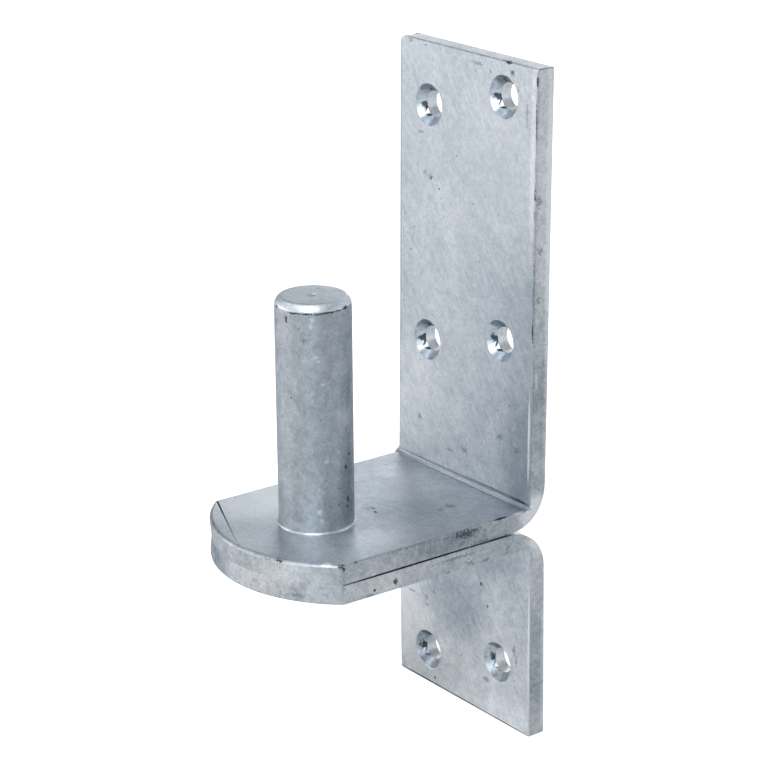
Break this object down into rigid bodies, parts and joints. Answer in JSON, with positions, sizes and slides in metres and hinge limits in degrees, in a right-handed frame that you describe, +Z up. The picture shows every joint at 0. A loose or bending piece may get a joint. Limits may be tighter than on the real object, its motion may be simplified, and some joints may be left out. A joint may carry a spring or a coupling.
{
  "type": "gate hinge pin",
  "caption": "Upright hinge pin riveted into two stacked bent flat-bar brackets, which screw to a post or wall through countersunk holes.",
  "frame": {"origin": "on the pin's axis, in the bearing face of the upper shelf, where the hinge eye turns", "axes": "+Z up the pin, +Y to the wall that the brackets are screwed to, +X to the right as seen from in front of the wall"},
  "size_m": [0.058, 0.0805, 0.1855],
  "materials": {
    "bracket_zinc": "hot-dip galvanised steel, mottled grey",
    "pin_zinc": "hot-dip galvanised steel, smoother than the bar"
  },
  "bodies": {
    "root": {"upper_bracket": "bracket_zinc", "lower_bracket": "bracket_zinc", "hinge_pin": "pin_zinc"}
  },
  "joints": []
}
